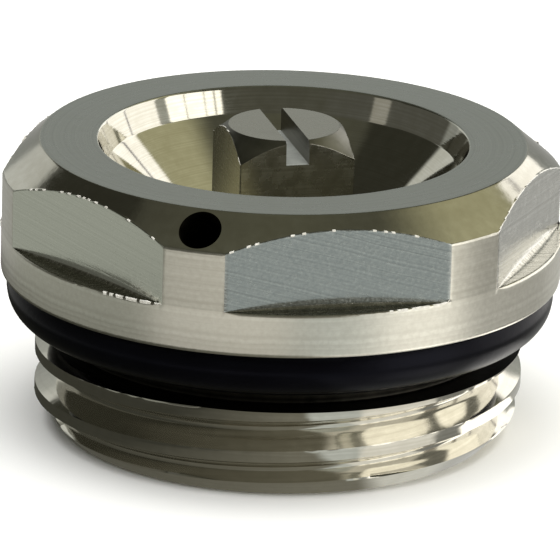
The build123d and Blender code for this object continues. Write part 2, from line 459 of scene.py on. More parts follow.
@dataclass
class HelixThread:
    """A single-start right-hand thread, cut along a helix by a node tree.

    Attributes:
        major: crest radius in millimetres.
        minor: root radius in millimetres.
        pitch: rise for each turn in millimetres.
        crest: width of the flat crest in millimetres.
        flank: half angle of the groove in degrees.
        bottom: lower end of the thread in millimetres.
        top: upper end of the thread in millimetres.
        end_radius: radius where the lower end chamfer starts.
        lip_break: small chamfer at the upper end.
        crest_height: height of a crest at the reference azimuth.
        crest_azimuth: reference azimuth in degrees.
        round_crest: blend at the crest's edges.
        round_root: blend at the root.
        round_end: blend where the thread runs into the end chamfer.
        rows_per_pitch: mesh rows for each turn.
        burr: height of the torn burr along the crest's edges.
        burr_mm: length of one tear.
        burr_width: how far from the crest's edge the burr reaches.
        tear_from: noise value above which the edge is torn.
        tear_gain: how steeply a tear rises.
        lip_fade: height below the upper end over which the burr fades out.
    """

    major: float
    minor: float
    pitch: float
    crest: float
    flank: float
    bottom: float
    top: float
    end_radius: float
    lip_break: float
    crest_height: float
    crest_azimuth: float
    round_crest: float = 0.05
    round_root: float = 0.16
    round_end: float = 0.04
    rows_per_pitch: int = 22
    burr: float = 0.0
    burr_mm: float = 0.3
    burr_width: float = 0.09
    tear_from: float = 0.52
    tear_gain: float = 4.0
    lip_fade: float = 0.1

    def inputs(self) -> dict[str, float]:
        """List the node tree's named inputs.

        Returns:
            Input name to value.
        """
        return {
            "Major": self.major,
            "Minor": self.minor,
            "Pitch": self.pitch,
            "Crest": self.crest,
            "Flank slope": math.tan(math.radians(self.flank)),
            "Bottom": self.bottom,
            "Top": self.top,
            "End radius": self.end_radius,
            "Lip break": self.lip_break,
            "Crest height": self.crest_height,
            "Burr": self.burr,
            "Burr length": self.burr_mm,
        }

    def sample(self, angle: Numbers, height: Numbers) -> Numbers:
        """Work out the thread's radius.

        Args:
            angle: azimuth in radians.
            height: height in millimetres.

        Returns:
            The radius in millimetres.
        """
        turn = (angle - math.radians(self.crest_azimuth)) / math.tau
        step = (height - self.crest_height) / self.pitch - turn
        away = np.abs(step - np.floor(step + 0.5)) * self.pitch
        radius = self.major - (away - self.crest / 2) / math.tan(math.radians(self.flank))
        radius = smooth_low(radius, self.major, self.round_crest)
        radius = -smooth_low(-radius, -self.minor, self.round_root)
        radius = smooth_low(radius, self.end_radius + height - self.bottom, self.round_end)
        return np.minimum(radius, self.major - self.lip_break + self.top - height)

    def sums(self) -> list[tuple]:
        """List the sums that the node tree works out, in order.

        Returns:
            For each sum a new name, what is done, and the names or numbers that it is done to.
        """
        return [
            # height of the grid point, held between the thread's two ends
            ("winding", "ADD", "lead", "turn"),
            ("raw height", "MULTIPLY_ADD", "winding", "Pitch", "Crest height"),
            ("over bottom", "MAXIMUM", "raw height", "Bottom"),
            ("height", "MINIMUM", "over bottom", "Top"),
            # distance from the middle of the nearest crest
            ("climb", "SUBTRACT", "height", "Crest height"),
            ("turns climbed", "DIVIDE", "climb", "Pitch"),
            ("step", "SUBTRACT", "turns climbed", "turn"),
            ("step and half", "ADD", "step", 0.5),
            ("nearest crest", "FLOOR", "step and half"),
            ("off crest", "SUBTRACT", "step", "nearest crest"),
            ("off crest either way", "ABSOLUTE", "off crest"),
            ("away", "MULTIPLY", "off crest either way", "Pitch"),
            ("half crest", "MULTIPLY", "Crest", 0.5),
            ("beyond", "SUBTRACT", "away", "half crest"),
            # flank, crest and root
            ("drop", "DIVIDE", "beyond", "Flank slope"),
            ("flank", "SUBTRACT", "Major", "drop"),
            ("crested", "SMOOTH_MIN", "flank", "Major", self.round_crest),
            ("rooted", "SMOOTH_MAX", "crested", "Minor", self.round_root),
            # torn burr along the crest's edges
            ("way round", "MULTIPLY", "azimuth", "Major"),
            ("way up", "MULTIPLY", "step", "Pitch"),
            ("spot", "POINT", "way round", "way up"),
            ("tears per millimetre", "DIVIDE", 1.0, "Burr length"),
            ("noise", "NOISE", {"Vector": "spot", "Scale": "tears per millimetre", "Detail": 1.0}),
            ("over noise", "SUBTRACT", "noise", self.tear_from),
            ("torn", "MAXIMUM", "over noise", 0.0),
            ("spike", "MULTIPLY", "torn", self.tear_gain),
            ("off edge", "ABSOLUTE", "beyond"),
            ("edge share", "DIVIDE", "off edge", self.burr_width),
            ("edge left", "SUBTRACT", 1.0, "edge share"),
            ("near edge", "MAXIMUM", "edge left", 0.0),
            ("below top", "SUBTRACT", "Top", "height"),
            ("fade", "MINIMUM", "below top", self.lip_fade),
            ("inside", "MULTIPLY", "fade", 1 / self.lip_fade),
            ("edge spike", "MULTIPLY", "spike", "near edge"),
            ("tear", "MULTIPLY", "edge spike", "inside"),
            ("burred", "MULTIPLY_ADD", "tear", "Burr", "rooted"),
            # lower end chamfer and upper lip
            ("over end", "SUBTRACT", "height", "Bottom"),
            ("end chamfer", "ADD", "End radius", "over end"),
            ("chamfered", "SMOOTH_MIN", "burred", "end chamfer", self.round_end),
            ("lip start", "SUBTRACT", "Major", "Lip break"),
            ("lip", "ADD", "lip start", "below top"),
            ("lipped", "MINIMUM", "chamfered", "lip"),
            # place in metres
            ("radius", "MULTIPLY", "lipped", MM),
            ("cosine", "COSINE", "azimuth"),
            ("sine", "SINE", "azimuth"),
            ("x", "MULTIPLY", "radius", "cosine"),
            ("y", "MULTIPLY", "radius", "sine"),
            ("z", "MULTIPLY", "height", MM),
            ("place", "POINT", "x", "y", "z"),
        ]

    def tree(self, material: bpy.types.Material) -> bpy.types.NodeTree:
        """Build the node tree that lays a flat grid along the helix.

        Args:
            material: the thread's finish.

        Returns:
            The geometry node tree.
        """
        tree = bpy.data.node_groups.new("helix_thread", "GeometryNodeTree")
        tree.interface.new_socket("Geometry", in_out="INPUT", socket_type="NodeSocketGeometry")
        for name in self.inputs():
            tree.interface.new_socket(name, in_out="INPUT", socket_type="NodeSocketFloat")
        tree.interface.new_socket("Geometry", in_out="OUTPUT", socket_type="NodeSocketGeometry")
        given = add_node(tree, "NodeGroupInput").outputs
        known = {name: given[name] for name in self.inputs()}
        for name in GRID_VALUES:
            values = add_node(tree, "GeometryNodeInputNamedAttribute", {"Name": name}, data_type="FLOAT")
            known[name] = values.outputs[0]
        other_kinds = {"POINT": "ShaderNodeCombineXYZ", "NOISE": "ShaderNodeTexNoise"}
        for name, work, *items in self.sums():
            named = items[0] if isinstance(items[0], dict) else dict(enumerate(items))
            inputs = {socket: known.get(item, item) for socket, item in named.items()}
            settings = {} if work in other_kinds else {"operation": work}
            kind = other_kinds.get(work, "ShaderNodeMath")
            known[name] = add_node(tree, kind, inputs, **settings).outputs[0]
        placed = {"Geometry": given["Geometry"], "Position": known["place"]}
        moved = add_node(tree, "GeometryNodeSetPosition", placed).outputs[0]
        solid = add_node(tree, "GeometryNodeRealizeInstances", {0: moved}).outputs[0]
        coat = {"Geometry": solid, "Material": material}
        dressed = add_node(tree, "GeometryNodeSetMaterial", coat).outputs[0]
        add_node(tree, "NodeGroupOutput", {"Geometry": dressed})
        return tree

    def strip(self, name: str, angles: np.ndarray, material: bpy.types.Material) -> bpy.types.Mesh:
        """Cut the thread on the given columns.

        Args:
            name: the mesh's name.
            angles: azimuth of each column in radians.
            material: the thread's finish.

        Returns:
            The open strip from the lower end to the upper end, as a plain mesh.
        """
        turns = (angles - math.radians(self.crest_azimuth)) / math.tau
        climb = self.rows_per_pitch
        low = (self.bottom - self.crest_height) / self.pitch - turns[0] - 1.0
        count = int(math.ceil(((self.top - self.bottom) / self.pitch + 1.0) * climb)) + 1
        leads = low + np.arange(count + 1) / climb
        width = len(angles)
        mesh = bpy.data.meshes.new(name)
        faces = []
        for row in range(count):
            for column in range(width - 1):
                start = row * width + column
                faces.append((start, start + 1, start + width + 1, start + width))
        for row in range(count - climb):
            start, beside = row * width + width - 1, (row + climb) * width
            faces.append((start, beside, beside + width, start + width))
        mesh.from_pydata([(0.0, 0.0, 0.0)] * (width * (count + 1)), [], faces)
        columns = (np.tile(angles, count + 1), np.tile(turns, count + 1), np.repeat(leads, width))
        for label, values in zip(GRID_VALUES, columns):
            attribute = mesh.attributes.new(label, "FLOAT", "POINT")
            attribute.data.foreach_set("value", values.astype(np.float32))
        carrier = show(name, mesh)
        modifier = carrier.modifiers.new("thread", "NODES")
        modifier.node_group = self.tree(material)
        sizes = self.inputs()
        for item in modifier.node_group.interface.items_tree:
            if item.in_out == "INPUT" and item.name in sizes:
                modifier[item.identifier] = sizes[item.name]
        result = plain_mesh(carrier)
        bpy.data.objects.remove(carrier)
        for label in GRID_VALUES:
            result.attributes.remove(result.attributes[label])
        return result


def smooth_low(a: Numbers, b: Numbers, width: float) -> Numbers:
    """Blend the lower of two values over a given width, as the Smooth Minimum node does."""
    share = np.maximum(width - np.abs(a - b), 0.0) / width
    return np.minimum(a, b) - share**3 * width / 6


def plain_mesh(obj: bpy.types.Object) -> bpy.types.Mesh:
    """Evaluate an object's modifiers into a plain mesh."""
    graph = bpy.context.evaluated_depsgraph_get()
    return bpy.data.meshes.new_from_object(obj.evaluated_get(graph), depsgraph=graph)


def take_mesh(work: bmesh.types.BMesh, name: str) -> bpy.types.Mesh:
    """Turn a work mesh into a plain mesh and free it.

    Args:
        work: the mesh that was worked on.
        name: the plain mesh's name.

    Returns:
        The plain mesh.
    """
    mesh = bpy.data.meshes.new(name)
    work.to_mesh(mesh)
    work.free()
    return mesh


def show(name: str, data: bpy.types.ID) -> bpy.types.Object:
    """Put a mesh, camera or light into the scene as an object at the origin.

    Args:
        name: the object's name.
        data: what the object shows.

    Returns:
        The object.
    """
    obj = bpy.data.objects.new(name, data)
    bpy.context.scene.collection.objects.link(obj)
    return obj


def weld(meshes: list[bpy.types.Mesh], name: str) -> bpy.types.Mesh:
    """Join meshes and merge their shared edges.

    Args:
        meshes: meshes that use the same material list.
        name: the joined mesh's name.

    Returns:
        One closed mesh with outward faces.
    """
    work = bmesh.new()
    for mesh in meshes:
        work.from_mesh(mesh)
    bmesh.ops.remove_doubles(work, verts=work.verts, dist=WELD)
    bmesh.ops.dissolve_degenerate(work, dist=WELD, edges=work.edges)
    bmesh.ops.recalc_face_normals(work, faces=work.faces)
    return take_mesh(work, name)


def cut(obj: bpy.types.Object, cutter: bpy.types.Mesh) -> None:
    """Cut a mesh away from an object and keep the result as its plain mesh.

    Args:
        obj: the object to cut.
        cutter: a closed mesh in the same frame, which gets the object's material list.
    """
    for material in obj.data.materials:
        cutter.materials.append(material)
    tool = show("cutter", cutter)
    modifier = obj.modifiers.new("cut", "BOOLEAN")
    modifier.operation = "DIFFERENCE"
    modifier.solver = "EXACT"
    modifier.object = tool
    mesh = plain_mesh(obj)
    obj.modifiers.clear()
    obj.data = mesh
    bpy.data.objects.remove(tool)


def finish_shading(obj: bpy.types.Object, sharp_degrees: float) -> None:
    """Shade smoothly, with creases kept where faces meet steeply."""
    obj.data.polygons.foreach_set("use_smooth", [True] * len(obj.data.polygons))
    obj.data.set_sharp_from_angle(angle=math.radians(sharp_degrees))


def toward(azimuth: float, elevation: float) -> Vector:
    """Give the direction at an azimuth, from -Y towards +X, and an elevation, both in radians."""
    level = math.cos(elevation)
    return Vector((math.sin(azimuth) * level, -math.cos(azimuth) * level, math.sin(elevation)))


def off_middle(angles: np.ndarray, first: float, count: int) -> np.ndarray:
    """Give each azimuth's angle from the middle of the nearest flat.

    Args:
        angles: azimuths in radians.
        first: azimuth of the first flat's middle in degrees.
        count: number of flats.

    Returns:
        Angles in radians, below zero on the side of lower azimuths.
    """
    sector = math.tau / count
    return (angles - math.radians(first) + sector / 2) % sector - sector / 2


def sector_columns(
    flats: int, first_flat: float, half_flat: float, on_flat: int, on_corner: int
) -> np.ndarray:
    """Spread columns so that each flat's two upright edges fall on a column.

    Args:
        flats: number of flats.
        first_flat: azimuth of the first flat's middle in degrees.
        half_flat: half of the angle that a flat takes up, in degrees.
        on_flat: columns across a flat.
        on_corner: columns across a corner.

    Returns:
        Azimuths in radians, rising through one turn.
    """
    sector = 360 / flats
    flat_steps = np.linspace(-half_flat, half_flat, on_flat, endpoint=False)
    corner_steps = np.linspace(half_flat, sector - half_flat, on_corner, endpoint=False)
    one = np.concatenate([flat_steps, corner_steps])
    return np.radians(np.concatenate([first_flat + sector * k + one for k in range(flats)]))


@dataclass
class PlugBody:
    """The turned and milled plug, with sizes in millimetres and angles in degrees."""

    collar_radius: float
    top: float
    half_across_flats: float = 11.0
    flats: int = 6
    first_flat: float = -60.0
    flat_columns: int = 58
    corner_columns: int = 18
    collar_bottom: float = 6.9
    ledge: float = 8.8
    below_ledge: float = 0.3
    ring_radius: float = 10.4
    chamfer_angle: float = 40.0
    recess_radius: float = 11.5
    recess_top: float = 7.3
    neck_radius: float = 9.3
    lip: float = 4.0
    dish_radius: float = 7.95
    dish_wall_radius: float = 7.45
    dish_wall_depth: float = 1.1
    bore_radius: float = 4.05
    seat_bottom: float = 1.9
    inlet_radius: float = 1.5
    inlet_chamfer: float = 0.5
    vent_radius: float = 0.9
    vent_chamber: float = 5.9
    vent_sides: int = 72
    rim_edge: float = 0.15
    crisp: float = 0.11
    corner_ease: float = 1.8
    cove: float = 0.55
    groove_edge: float = 0.1
    ring_edge: float = 0.12
    dish_edge: float = 0.1
    dish_foot_edge: float = 0.08
    fine_edge: float = 0.05
    burr: float = 0.10
    burr_rub: float = 0.008
    exit_burr: float = 0.03
    exit_rarity: float = 2.0
    top_rarity: float = 6.0
    corner_burr_share: float = 0.125
    burr_seed: int = 7
    sharp_degrees: float = 42.0
    flat_margin: float = 0.01
    corner_margin: float = 1e-6

    def __post_init__(self) -> None:
        """Set out the columns and the pipe thread."""
        self.half_flat = math.acos(self.half_across_flats / self.collar_radius)
        self.angles = sector_columns(
            self.flats, self.first_flat, math.degrees(self.half_flat), self.flat_columns, self.corner_columns
        )
        self.off_flat = off_middle(self.angles, self.first_flat, self.flats)
        self.head = np.minimum(self.half_across_flats / np.cos(self.off_flat), self.collar_radius)
        self.thread = HelixThread(
            major=10.4775,
            minor=9.42,
            pitch=1.814,
            crest=0.5,
            flank=27.5,
            bottom=0.0,
            top=self.lip,
            end_radius=9.2775,
            lip_break=0.0,
            crest_height=2.03,
            crest_azimuth=PHOTO_AZIMUTH - 90,
            burr=0.02,
            burr_mm=0.22,
        )

    def burrs(self, rarity: float) -> np.ndarray:
        """Give the milling burr that stands out of an edge at each column.

        Args:
            rarity: how few of the columns carry a tall spike.

        Returns:
            Burr heights in millimetres.
        """
        chance = np.random.default_rng(self.burr_seed)
        count = len(self.angles)
        return chance.random(count) ** rarity * self.burr + np.abs(chance.normal(0.0, self.burr_rub, count))

    def tool_exit(self) -> np.ndarray:
        """Give how near each column is to the end of a flat where the mill left the metal, from 0 to 1."""
        share = np.clip(self.off_flat / self.half_flat, 0.0, 1.0)
        return np.where(np.abs(self.off_flat) < self.half_flat, share, 0.0)

    def chamfer_height(self, radius: Numbers) -> Numbers:
        """Give the height of the top chamfer at a radius."""
        return self.top - (radius - self.ring_radius) * math.tan(math.radians(self.chamfer_angle))

    def section(self, shell: TurnedShell) -> list[Corner]:
        """List the section from the lip round the groove, head, dish and bore to the end face.

        Args:
            shell: the shell that spreads the corners over its columns.

        Returns:
            The corners in order.
        """
        on_flat = self.head < self.collar_radius - self.flat_margin
        top_edge = np.where(on_flat, self.crisp, self.crisp * self.corner_ease)
        top_burr = self.burrs(self.top_rarity) * np.where(on_flat, 1.0, self.corner_burr_share)
        exit_burr = (self.exit_burr + self.burrs(self.exit_rarity)) * self.tool_exit()
        wall_top = self.top - self.dish_wall_depth
        bore_top = wall_top - (self.dish_wall_radius - self.bore_radius)
        seat_top = self.seat_bottom + self.bore_radius - self.inlet_radius
        lip_radius = self.thread.sample(self.angles, self.lip)
        at = shell.corner
        return [
            at(lip_radius, self.lip, Part.GROOVE),
            at(self.neck_radius, self.lip, Part.GROOVE, self.groove_edge),
            at(self.neck_radius, self.recess_top, Part.GROOVE, self.groove_edge),
            at(self.recess_radius, self.recess_top, Part.GROOVE, self.fine_edge),
            at(self.recess_radius, self.collar_bottom, Part.COLLAR, self.fine_edge),
            at(self.collar_radius, self.collar_bottom, Part.COLLAR, self.rim_edge),
            at(self.collar_radius, self.ledge - self.below_ledge, Part.COLLAR),
            at(self.collar_radius, self.ledge, Part.LEDGE, self.crisp, exit_burr),
            at(self.head, self.ledge, Part.FLAT_FRONT, self.cove),
            at(self.head, self.chamfer_height(self.head), Part.CHAMFER, top_edge, top_burr),
            at(self.ring_radius, self.top, Part.TOP_RING, self.ring_edge),
            at(self.dish_radius, self.top, Part.DISH, self.dish_edge),
            at(self.dish_wall_radius, wall_top, Part.DISH, self.dish_foot_edge),
            at(self.bore_radius, bore_top, Part.BORE, self.dish_foot_edge),
            at(self.bore_radius, seat_top, Part.BORE, self.fine_edge),
            at(self.inlet_radius, self.seat_bottom, Part.BORE, self.fine_edge),
            at(self.inlet_radius, self.inlet_chamfer, Part.BORE, self.fine_edge),
            at(self.inlet_radius + self.inlet_chamfer, 0.0, Part.THREAD, self.fine_edge),
            at(self.thread.end_radius, 0.0, Part.THREAD),
        ]

    def vent_drill(self) -> bpy.types.Mesh:
        """Make the drill that opens the vent hole from the chamfer into the bore.

        Returns:
            A closed cylinder mesh in metres.
        """
        mouth_radius = (self.ring_radius + self.collar_radius) / 2
        mouth = Vector((0, -mouth_radius, self.chamfer_height(mouth_radius)))
        inner = Vector((0, -self.bore_radius, self.vent_chamber))
        drill = (inner - mouth).normalized()
        start, end = mouth - drill * 2 * self.vent_radius, inner + drill * self.vent_radius
        work = bmesh.new()
        bmesh.ops.create_cone(
            work,
            cap_ends=True,
            segments=self.vent_sides,
            radius1=self.vent_radius,
            radius2=self.vent_radius,
            depth=(end - start).length,
        )
        turn = drill.to_track_quat("Z", "Y").to_matrix().to_4x4()
        place = Matrix.Scale(MM, 4) @ Matrix.Translation((start + end) / 2) @ turn
        bmesh.ops.transform(work, matrix=place, verts=work.verts)
        for face in work.faces:
            face.material_index = Part.BORE.value
        return take_mesh(work, "vent_drill")

    def build(self, materials: dict[Part, bpy.types.Material]) -> bpy.types.Object:
        """Make the plug and dress it.

        Args:
            materials: the finish of each material place.

        Returns:
            The finished object.
        """
        shell = TurnedShell(self.angles, Part.TORN)
        shell.sweep(self.section(shell))
        body = shell.mesh("plug_turned", False, self.place_of)
        strip = self.thread.strip("plug_thread", self.angles, materials[Part.THREAD])
        strip.polygons.foreach_set("material_index", [Part.THREAD.value] * len(strip.polygons))
        mesh = weld([body, strip], "plug")
        for part in Part:
            mesh.materials.append(materials[part])
        obj = show("plug", mesh)
        cut(obj, self.vent_drill())
        finish_shading(obj, self.sharp_degrees)
        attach(obj, "plug")
        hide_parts("plug_body")
        return obj

    def place_of(self, part: Part, column: int) -> int:
        """Tell a face's material index; the strip of the flats is split into flats and corners.

        Args:
            part: the strip's material place.
            column: the column's number.

        Returns:
            The material index.
        """
        if part is not Part.FLAT_FRONT:
            return part.value
        beside = (column + 1) % len(self.head)
        if min(self.head[column], self.head[beside]) >= self.collar_radius - self.corner_margin:
            return Part.CORNER.value
        order = (Part.FLAT_FRONT, Part.FLAT_RIGHT, Part.FLAT_LEFT)
        sector = 360 / self.flats
        turned = (math.degrees(self.angles[column]) - self.first_flat + sector / 2) % 360
        return order[int(turned // sector) % len(order)].value


@dataclass
class RubberRing:
    """A moulded sealing ring with a faint parting line, with sizes in millimetres."""

    name: str
    node: str
    body: str
    ring_radius: float
    section_radius: float
    height: float
    around: int = 240
    across: int = 48
    flash: float = 0.015
    flash_width: float = 0.09
    sharp_degrees: float = 80.0

    def build(self, material: bpy.types.Material) -> bpy.types.Object:
        """Make the ring and dress it.

        Args:
            material: the rubber.

        Returns:
            The finished object.
        """
        shell = TurnedShell(np.arange(self.around) * math.tau / self.around, RingPart.MOULDED)
        wide = np.ones(self.around)
        for step in range(self.across):
            around = math.tau * step / self.across
            outer = max(math.cos(around), 0.0)
            line = self.flash * math.exp(-((math.sin(around) / self.flash_width) ** 2)) * outer
            reach = self.section_radius + line
            radius = self.ring_radius + reach * math.cos(around)
            height = self.height + reach * math.sin(around)
            shell.push(np.stack((wide * radius, wide * height), -1), RingPart.MOULDED)
        mesh = weld([shell.mesh(self.name, True)], self.name)
        mesh.materials.append(material)
        obj = show(self.name, mesh)
        finish_shading(obj, self.sharp_degrees)
        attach(obj, self.body)
        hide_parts(self.node)
        return obj


@dataclass
class BleedScrew:
    """The square-headed, slotted bleed screw, with sizes in millimetres and angles in degrees."""

    top: float
    half_side: float = 2.5
    sides: int = 4
    side_columns: int = 20
    corner_columns: int = 10
    corner_radius: float = 3.5
    top_radius: float = 2.4
    top_inset: float = 0.02
    chamfer_angle: float = 40.0
    slot_width: float = 1.0
    slot_depth: float = 1.05
    turn: float = 31.75
    thread_radius: float = 4.0
    thread_bottom: float = 5.9
    thread_top: float = 8.3
    stem_radius: float = 2.5
    shoulder: float = 4.15
    spigot_radius: float = 1.6
    retainer_top: float = 2.89
    retainer_radius: float = 1.85
    retainer_bottom: float = 2.59
    nose_radius: float = 1.2
    nose_bottom: float = 2.09
    head_edge: float = 0.05
    top_edge: float = 0.03
    nose_edge: float = 0.05
    spigot_edge: float = 0.04
    stem_edge: float = 0.06
    burr: float = 0.12
    burr_rarity: int = 7
    burr_seed: int = 3
    sharp_degrees: float = 35.0

    def __post_init__(self) -> None:
        """Set out the columns and the thread."""
        half_side = math.degrees(math.acos(self.half_side / self.corner_radius))
        self.angles = sector_columns(self.sides, self.turn, half_side, self.side_columns, self.corner_columns)
        self.thread = HelixThread(
            major=self.thread_radius,
            minor=3.42,
            pitch=1.0,
            crest=0.14,
            flank=30.0,
            bottom=self.thread_bottom,
            top=self.thread_top,
            end_radius=3.3,
            lip_break=0.35,
            crest_height=7.0,
            crest_azimuth=0.0,
            round_crest=0.03,
            round_root=0.08,
        )

    def head(self) -> bpy.types.Mesh:
        """Make the square head with its chamfered top and torn upper edges.

        Returns:
            The open mesh from the thread's upper end to the axis, in metres.
        """
        square = self.half_side / np.cos(off_middle(self.angles, self.turn, self.sides))
        square = np.minimum(square, self.corner_radius)
        slope = math.tan(math.radians(self.chamfer_angle))
        shoulder_height = self.top - np.maximum(square - self.top_radius, 0.0) * slope
        top_radius = np.minimum(square, self.top_radius) - self.top_inset
        thread_top_radius = self.thread.sample(self.angles, self.thread_top)
        chance = np.random.default_rng(self.burr_seed)
        spikes = chance.random(len(square)) ** self.burr_rarity * self.burr
        shell = TurnedShell(self.angles, ScrewPart.TORN)
        at = shell.corner
        shell.sweep(
            [
                at(thread_top_radius, self.thread_top, ScrewPart.SHANK),
                at(square, self.thread_top, ScrewPart.HEAD, self.head_edge),
                at(square, shoulder_height, ScrewPart.CHAMFER, self.head_edge, spikes),
                at(top_radius, self.top, ScrewPart.HEAD, self.top_edge),
                at(0.0, self.top, ScrewPart.HEAD),
            ]
        )
        return shell.mesh("screw_head", False)

    def stem(self) -> bpy.types.Mesh:
        """Make the turned nose, retainer, spigot and stem below the thread.

        Returns:
            The open mesh from the axis to the thread's lower end, in metres.
        """
        shell = TurnedShell(self.angles, ScrewPart.TORN)
        shell.sweep(
            [
                shell.corner(radius, height, ScrewPart.SHANK, edge)
                for radius, height, edge in (
                    (0.0, self.nose_bottom, 0.0),
                    (self.nose_radius, self.nose_bottom, self.nose_edge),
                    (self.retainer_radius, self.retainer_bottom, self.spigot_edge),
                    (self.retainer_radius, self.retainer_top, self.spigot_edge),
                    (self.spigot_radius, self.retainer_top, self.spigot_edge),
                    (self.spigot_radius, self.shoulder, self.spigot_edge),
                    (self.stem_radius, self.shoulder, self.stem_edge),
                    (self.stem_radius, self.thread_bottom, self.stem_edge),
                    (self.thread.end_radius, self.thread_bottom, 0.0),
                )
            ]
        )
        return shell.mesh("screw_stem", False)

    def build(self, materials: dict[ScrewPart, bpy.types.Material]) -> bpy.types.Object:
        """Make the screw and dress it.

        Args:
            materials: the finish of each material place.

        Returns:
            The finished object.
        """
        upper = self.head()
        lower = self.stem()
        strip = self.thread.strip("screw_thread", self.angles, materials[ScrewPart.SHANK])
        strip.polygons.foreach_set("material_index", [ScrewPart.SHANK.value] * len(strip.polygons))
        mesh = weld([upper, strip, lower], "bleed_screw_head")
        for part in ScrewPart:
            mesh.materials.append(materials[part])
        obj = show("bleed_key_screw", mesh)
        cut(obj, self.slot_cutter())
        finish_shading(obj, self.sharp_degrees)
        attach(obj, "screw")
        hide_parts("bleed_screw")
        return obj

    def slot_cutter(self) -> bpy.types.Mesh:
        """Make the block that the driver slot is cut with.

        Returns:
            A closed box mesh in metres.
        """
        work = bmesh.new()
        bmesh.ops.create_cube(work, size=1.0)
        size = Matrix.Diagonal((self.slot_width, 4 * self.corner_radius, 2 * self.slot_depth, 1.0))
        turn = Matrix.Rotation(math.radians(self.turn), 4, "Z")
        lift = Matrix.Translation((0, 0, self.top))
        bmesh.ops.transform(work, matrix=Matrix.Scale(MM, 4) @ lift @ turn @ size, verts=work.verts)
        work.normal_update()
        for face in work.faces:
            level = abs(face.normal.z) > 0.5
            face.material_index = (ScrewPart.SLOT_FLOOR if level else ScrewPart.SAWN).value
        return take_mesh(work, "slot_cutter")


@dataclass(frozen=True)
class Panel:
    """One lit or dark part of the room, as the camera's side sees it.

    Attributes:
        side: azimuth of its middle in degrees, from straight behind the plug towards the right.
        rise: elevation of its middle in degrees.
        half: half of its width and height in degrees.
        soft: width of its soft edge in degrees.
        tone: linear red, green and blue radiance.
    """

    side: float
    rise: float
    half: tuple[float, float]
    soft: float
    tone: tuple[float, float, float]

    def paint(
        self,
        tree: bpy.types.NodeTree,
        side: bpy.types.NodeSocket,
        rise: bpy.types.NodeSocket,
        colour: bpy.types.NodeSocket,
    ) -> bpy.types.NodeSocket:
        """Paint the panel over the room.

        Args:
            tree: the world's tree.
            side: azimuth socket in radians.
            rise: elevation socket in radians.
            colour: the colour painted so far.

        Returns:
            The new colour socket.
        """
        covers = []
        for angle, middle, half in ((side, self.side, self.half[0]), (rise, self.rise, self.half[1])):
            off = add_node(tree, "ShaderNodeMath", {0: angle, 1: math.radians(middle)}, operation="SUBTRACT")
            wrapped = {0: off.outputs[0], 1: math.pi, 2: -math.pi}
            near = add_node(tree, "ShaderNodeMath", wrapped, operation="WRAP")
            away = add_node(tree, "ShaderNodeMath", {0: near.outputs[0]}, operation="ABSOLUTE")
            span = {"Value": away.outputs[0], "To Min": 1.0, "To Max": 0.0}
            span |= {"From Min": math.radians(half), "From Max": math.radians(half + self.soft)}
            cover = add_node(tree, "ShaderNodeMapRange", span, interpolation_type="SMOOTHSTEP")
            covers.append(cover.outputs["Result"])
        cover = add_node(tree, "ShaderNodeMath", dict(enumerate(covers)), operation="MULTIPLY").outputs[0]
        colours = {0: cover, 6: colour, 7: (*self.tone, 1.0)}
        return add_node(tree, "ShaderNodeMix", colours, data_type="RGBA").outputs[2]


